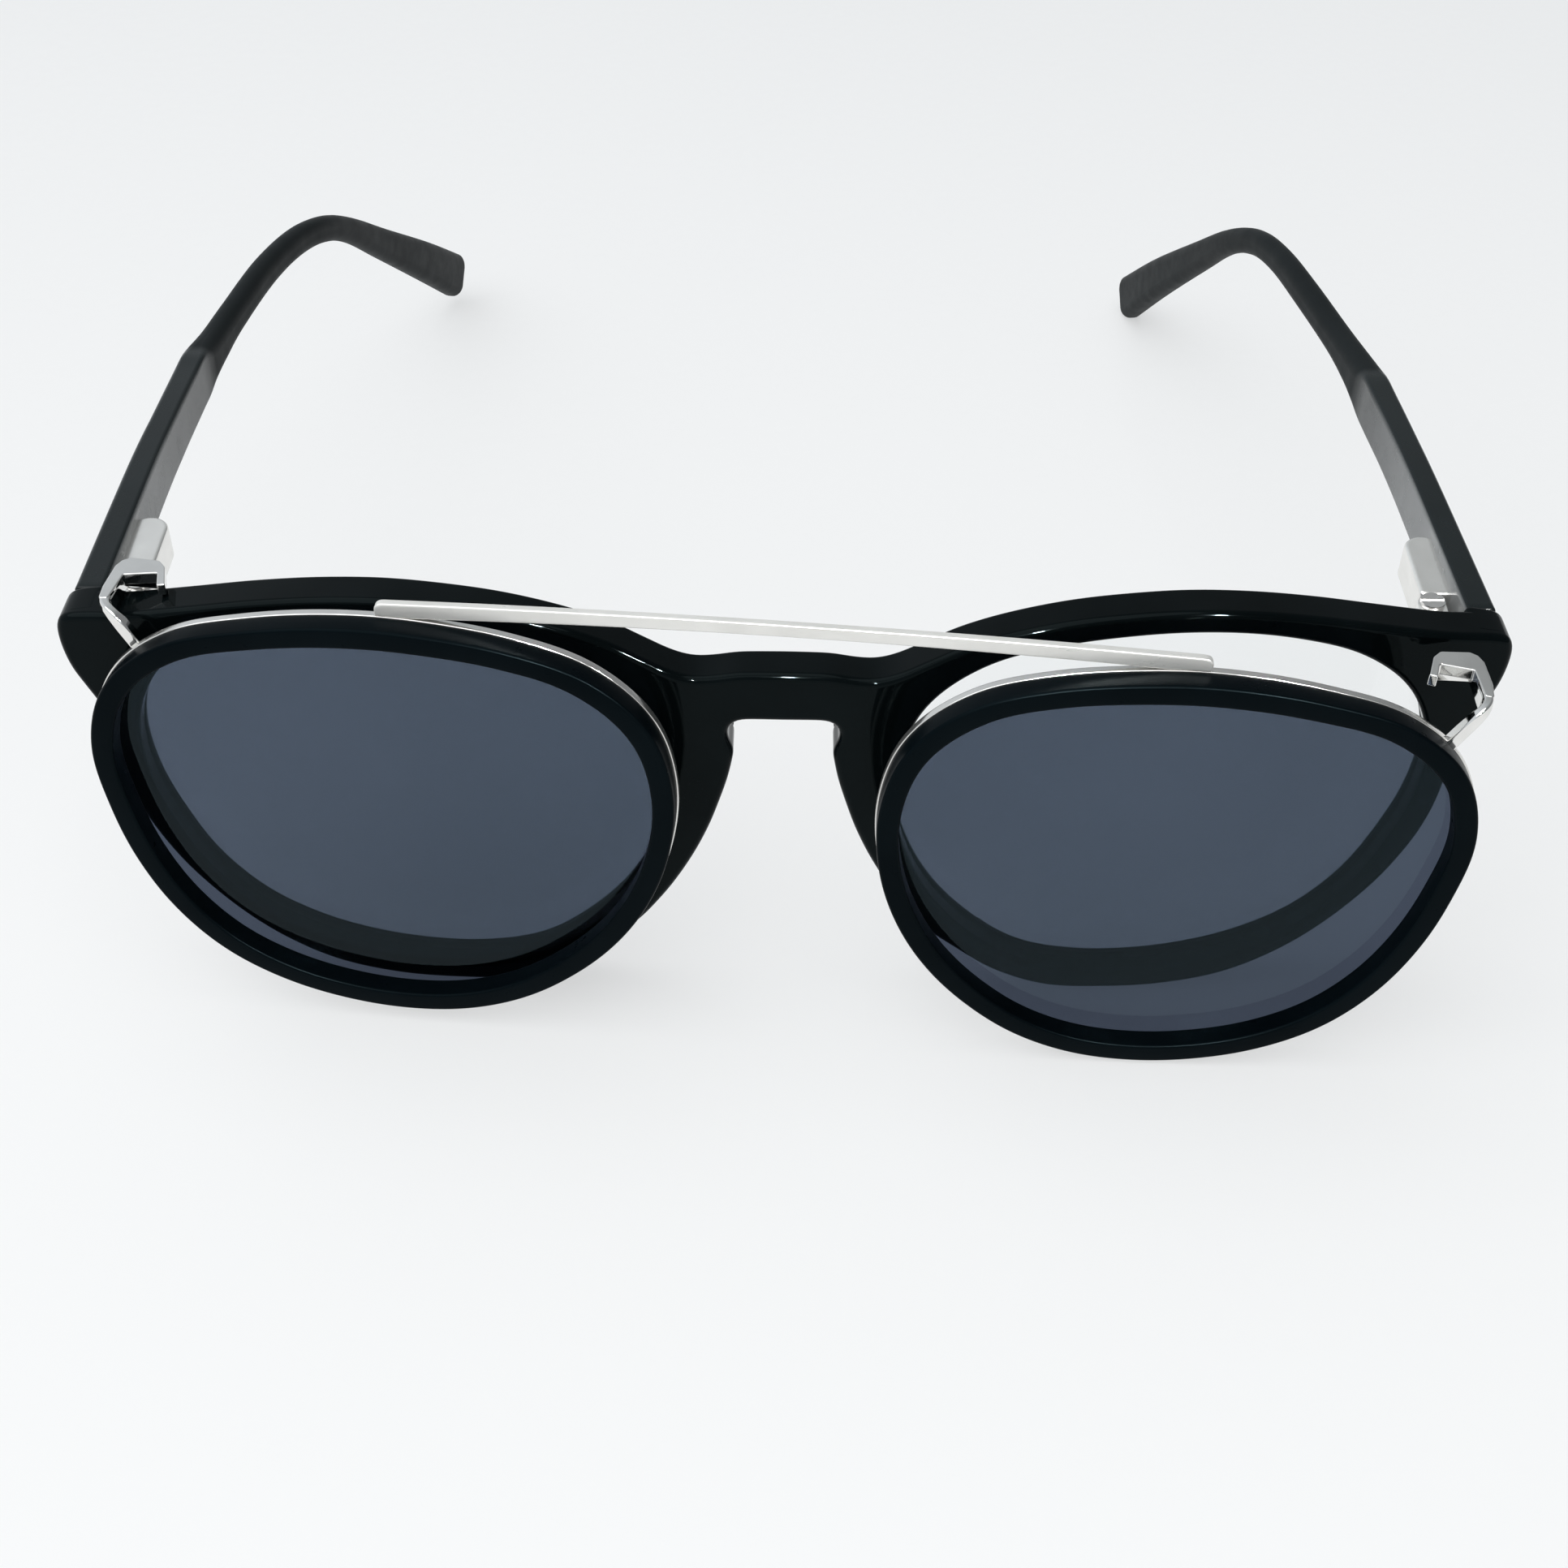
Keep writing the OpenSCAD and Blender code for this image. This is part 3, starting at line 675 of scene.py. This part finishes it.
ring_cut = fillet([(0, 0), (0, 2.2), (-2.1, 2.2), (-2.1, 0)], [0.32, 0.1, 0.1, 0.28], 6)
rim_cut = fillet([(0.12, 2.2), (0.12, 3.1), (-1.05, 3.1), (-1.05, 2.2)], [0.1, 0.22, 0.1, 0.06], 5)


def strip_run(stations, n, s):
    """A bent strip: middle line, with the two directions and half sizes of its section."""
    st = run_open(np.array([[*(np.array(c) + k * np.array(LEG_MORE[s])), *A, *B, a, b]
                            for c, A, B, a, b, k in stations], float), n)
    mid = np.gradient(st[:, :3], axis=0)
    rings = []
    last = len(st) - 1
    for i, q in enumerate(st):
        t = mid[i] / np.linalg.norm(mid[i])
        A = q[3:6] - t * (q[3:6] @ t)
        A /= np.linalg.norm(A)
        B = q[6:9] - t * (q[6:9] @ t) - A * (q[6:9] @ A)
        B /= np.linalg.norm(B)
        sec = rrect(q[9], q[10], 0.22, 4)
        ring = q[:3] + sec[:, :1] * A + sec[:, 1:] * B
        if i == last:
            for out, cut in ((0.0, 0.0), (0.1, 0.04), (0.17, 0.12), (0.2, 0.22)):
                small = rrect(q[9] - cut, q[10] - cut, 0.22 - 0.6 * cut, 4)
                rings.append(on_hook(q[:3] + out * t + small[:, :1] * A + small[:, 1:] * B, s))
        else:
            rings.append(on_hook(ring, s))
    return loft(rings)


LEG_A, LEG_B = (-0.867, 0, 0.499), (0, 1, 0)
UP = (0, 0, 1)
# Leg from the rim, and the twisted neck up to the loop
NECK = [
    ((58.15, 2.9, 15.75), LEG_A, LEG_B, 0.56, 0.58, 1),
    ((59.0, 2.9, 17.25), LEG_A, LEG_B, 0.56, 0.58, 1),
    ((59.9, 2.9, 18.8), LEG_A, LEG_B, 0.55, 0.56, 1),
    ((60.45, 2.95, 19.55), (-0.8, -0.1, 0.55), (-0.2, 0.9, 0.2), 0.5, 0.45, 0.9),
    ((60.95, 3.35, 19.85), (-0.45, -0.2, 0.85), (-0.8, 0.6, 0.1), 0.44, 0.42, 0.6),
    ((61.4, 4.0, 19.85), (-0.1, -0.1, 1), (-1, 0.4, 0), 0.5, 0.42, 0.2),
    ((61.6, 4.9, 19.75), UP, (-1, 0.1, 0), 0.6, 0.46, 0),
    ((61.65, 5.8, 19.7), UP, (-1, 0, 0), 0.62, 0.46, 0),
]
# Flat loop seen from above, then the deeper strip over the end-piece and the wall behind the front
LOOP = fillet([(56.85, 7.2), (57.7, 9.95), (58.5, 10.85), (61.2, 10.95), (61.85, 10.45), (62.2, 9.5), (62.25, 6.2),
               (62, 4.25), (61.2, 4.45), (61.05, 8.2), (58.1, 8.9), (57.55, 6.95)],
              [0.12, 0.9, 0.5, 0.4, 0.35, 0.6, 1.5, 0.3, 0.3, 0.2, 0.2, 0.12], 6)
STRIP = fillet([(61.08, 4.7), (61.98, 4.7), (62.2, 6.2), (62.15, 9.5), (61.08, 9.7)], [0.15, 0.2, 0.8, 0.3, 0.3], 4)
WALL = fillet([(62.1, 9.35), (62.05, 9.8), (61.75, 10.45), (61.15, 10.9), (58.6, 10.85), (57.8, 10.05), (58.05, 9.35)],
              [0.12, 0.3, 0.3, 0.3, 0.3, 0.25, 0.15], 4)


def united(name, solids, mat):
    """One closed mesh from several that overlap."""
    ob = make(name, solids[0], mat)
    for k, solid in enumerate(solids[1:]):
        other = make(name + "_add" + str(k), solid, mat)
        join = ob.modifiers.new("join", "BOOLEAN")
        join.operation = "UNION"
        join.solver = "EXACT"
        join.object = other
        bpy.context.view_layer.update()
        done = bpy.data.meshes.new_from_object(ob.evaluated_get(bpy.context.evaluated_depsgraph_get()))
        ob.modifiers.clear()
        ob.data = done
        bpy.data.objects.remove(other)
    done.polygons.foreach_set("use_smooth", [True] * len(done.polygons))
    done.set_sharp_from_angle(angle=math.radians(32))
    done.materials.clear()
    done.materials.append(mat)
    return ob


for s, side in ((-1, "right"), (1, "left")):
    piece("clip_ring_" + side + "_band", band(s, ring_cut), ring_mat, "clip", "clip_ring_" + side)
    piece("clip_rim_" + side + "_wire", band(s, rim_cut), nickel_mat, "clip", "clip_rim_" + side)
    lens = plate(shape(RING_R, -1.12, s, CLIP_X, 0), [], 2.22, 3.05, 0.06, 0.06, lambda q: on_lens(upright(q), s), seg=2)
    piece("clip_lens_" + side + "_glass", lens, tint_mat, "clip", "clip_lens_" + side)

    def hooked(q):
        return on_hook(q, s)

    hook = united("clip_hook_" + side + "_strip", [
        plate(LOOP, [], 19.25, 20.4, 0.07, 0.1, hooked, seg=3),
        plate(STRIP, [], 18.45, 20.0, 0.1, 0.1, hooked, seg=3),
        plate(WALL, [], 18.2, 20.05, 0.1, 0.1, hooked, seg=3),
        strip_run(NECK, 8, s)], hook_mat)
    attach(hook, "clip")
    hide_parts("clip_hook_" + side)

# Brow bar: resting on the two rims, and a little higher in the middle
ring_top = shape(RING_R, 0.13, 1, CLIP_X, 0)
ring_top = ring_top[(ring_top[:, 1] > 15)]
ring_top = ring_top[np.argsort(ring_top[:, 0])]
xs = np.linspace(-36.5, 36.5, 293)
arch = 1 - (xs / 36.5) ** 2
low = np.maximum(22.6 + 0.9 * arch, np.interp(np.abs(xs + 0.6), ring_top[:, 0], ring_top[:, 1]))
high = 24.15 + 0.6 * arch - np.clip(np.abs(xs) - 35.9, 0, 1) ** 2
bar = np.vstack([np.c_[xs + 0.6, low], np.c_[xs + 0.6, high][::-1]])
bar = ease(resample(ccw(bar), 0.2), 2)
piece("clip_brow_bar_strip", plate(bar, [], 2.2, 3.0, 0.14, 0.12, flat_on_clip, seg=3), bar_mat, "clip", "clip_brow_bar")


# ---- Floor, light and camera -----------------------------------------------
me = bpy.data.meshes.new("floor")
w = 2.5
me.from_pydata([(-w, -w, 0), (w, -w, 0), (w, w, 0), (-w, w, 0)], [], [(0, 1, 2, 3)])
floor = bpy.data.objects.new("floor", me)
bpy.context.scene.collection.objects.link(floor)
mat, nt, b, co = surface("floor_white")
sep = nt.nodes.new("ShaderNodeSeparateXYZ")
nt.links.new(co, sep.inputs["Vector"])
# Painted light fall-off: depth runs from the front of the floor to the back, and the colour and glow ramps below darken
# along it.
depth = spread(nt, sep.outputs["Y"], 0.0, 1.0, -0.16, 0.3)
pale = ramp(nt, depth, [(0, (0.93, 0.935, 0.935)), (1, (0.77, 0.78, 0.785))])
nt.links.new(ramp(nt, depth, [(0, (0.33, 0.332, 0.332)), (1, (0.29, 0.294, 0.296))]), b.inputs["Base Color"])
# A lit panel: it glows from below, so shadows on it stay faint. Its glow and colour are painted light fall-off,
# brighter at the front and darker towards the back.
nt.links.new(pale, b.inputs["Emission Color"])
b.inputs["Emission Strength"].default_value = 0.65
nt.links.new(spread(nt, noise(nt, co, 500, 3), 0.55, 0.7), b.inputs["Roughness"])
b.inputs["Specular IOR Level"].default_value = 0.15
me.materials.append(mat)

scene = bpy.context.scene
world = bpy.data.worlds.new("studio")
scene.world = world
world.use_nodes = True
wt = world.node_tree
bg = wt.nodes["Background"]
# The room is brighter at the left and falls away to the right
side_to_side = wt.nodes.new("ShaderNodeSeparateXYZ")
wt.links.new(wt.nodes.new("ShaderNodeTexCoord").outputs["Generated"], side_to_side.inputs["Vector"])
wt.links.new(ramp(wt, spread(wt, side_to_side.outputs["X"], 0.0, 1.0, -0.6, 0.6), [
    (0.0, (0.72, 0.76, 0.8)), (0.3, (0.57, 0.6, 0.63)), (0.5, (0.45, 0.48, 0.5)), (0.7, (0.39, 0.41, 0.42)),
    (1.0, (0.22, 0.23, 0.24))]), bg.inputs["Color"])
bg.inputs["Strength"].default_value = 1.0


def area(name, at, to, size, power, color=(1, 1, 1)):
    lamp = bpy.data.lights.new(name, "AREA")
    lamp.shape = "DISK"
    lamp.size = size
    lamp.energy = power
    lamp.color = color
    ob = bpy.data.objects.new(name, lamp)
    ob.location = at
    ob.rotation_euler = (Vector(to) - Vector(at)).to_track_quat("-Z", "Y").to_euler()
    scene.collection.objects.link(ob)
    return ob


area("overhead", (-0.4, -0.25, 1.2), (-0.03, 0.0, 0), 1.9, 14.5)
# Two small lamps that only glint on polished edges
for name, at in (("glint_front", (0.002, -0.224, 0.178)), ("glint_right", (0.12, -0.2, 0.19))):
    glint = area(name, at, (0, -0.05, 0.03), 0.008, 0.8)
    glint.data.cycles.max_bounces = 1
    glint.visible_diffuse = False
    glint.visible_transmission = False

cam = bpy.data.cameras.new("camera")
cam.sensor_width = 36
cam.lens = 36 * 2700 / 1932
cam.clip_start = 0.01
camera = bpy.data.objects.new("camera", cam)
scene.collection.objects.link(camera)
az, el, roll = math.radians(0.10), math.radians(42.65), math.radians(0.93)
f = Vector((math.sin(az) * math.cos(el), math.cos(az) * math.cos(el), -math.sin(el)))
r = Vector((math.cos(az), -math.sin(az), 0))
u = r.cross(f)
r2 = math.cos(roll) * r + math.sin(roll) * u
u2 = -math.sin(roll) * r + math.cos(roll) * u
m = Matrix((r2, u2, -f)).transposed().to_4x4()
m.translation = Vector((-0.15, -151.85 - SEAT, 167.15)) * 0.001
camera.matrix_world = m
scene.camera = camera
scene.view_settings.view_transform = "Standard"
scene.view_settings.look = "None"
